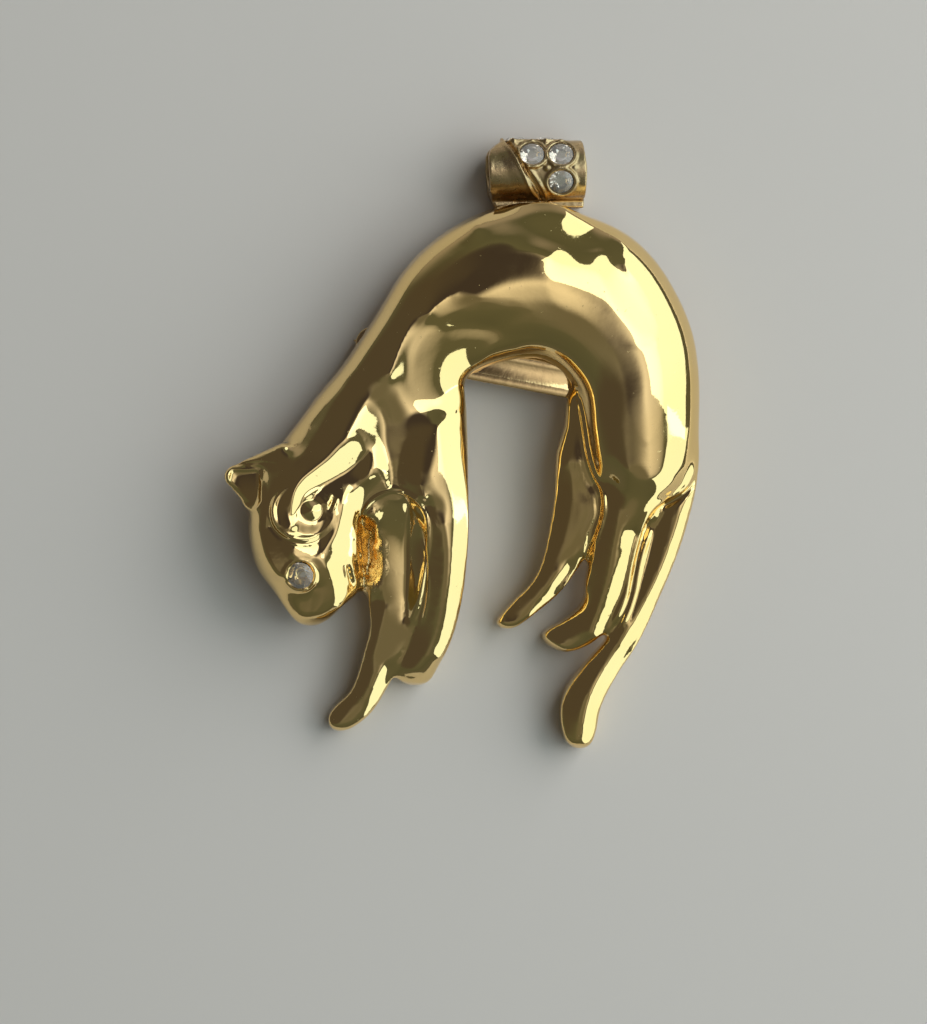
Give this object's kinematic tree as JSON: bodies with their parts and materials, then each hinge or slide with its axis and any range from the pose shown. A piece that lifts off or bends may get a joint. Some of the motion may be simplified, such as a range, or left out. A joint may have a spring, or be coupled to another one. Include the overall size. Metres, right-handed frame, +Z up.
{
  "type": "figural animal brooch",
  "caption": "Gold-plated brooch of an arched big cat looking down, hollow at the back, with a pin back and a folding stone-set bail so that it also hangs as a pendant.",
  "frame": {"origin": "on the surface that the brooch lies on, under the middle of its outline", "axes": "+Z up out of the face, +Y to the top of the brooch where the bail is, +X to the viewer's right"},
  "size_m": [0.045, 0.0583, 0.0088],
  "materials": {
    "gold_plate": "mirror-polished gold plate, rough orange gold in the deep pockets",
    "bail_gold": "duller coppery gold plate",
    "pin_gold": "plain gold plate",
    "rhinestone": "clear cut glass, foiled behind"
  },
  "bodies": {
    "brooch": {"panther": "gold_plate", "eye_stone": "rhinestone", "hinge_pin": "bail_gold", "pin_back": "pin_gold"},
    "bail": {"bail": "bail_gold", "bail_stone_1": "rhinestone", "bail_stone_2": "rhinestone", "bail_stone_3": "rhinestone", "bail_stone_4": "rhinestone", "bail_stone_5": "rhinestone"}
  },
  "joints": [
    {"name": "bail_swing", "type": "hinge", "parent": "brooch", "child": "bail", "pos_m": [0.00698, 0.0211, 0.00125], "axis": [-1, 0, 0], "range_deg": [0, 160]}
  ]
}
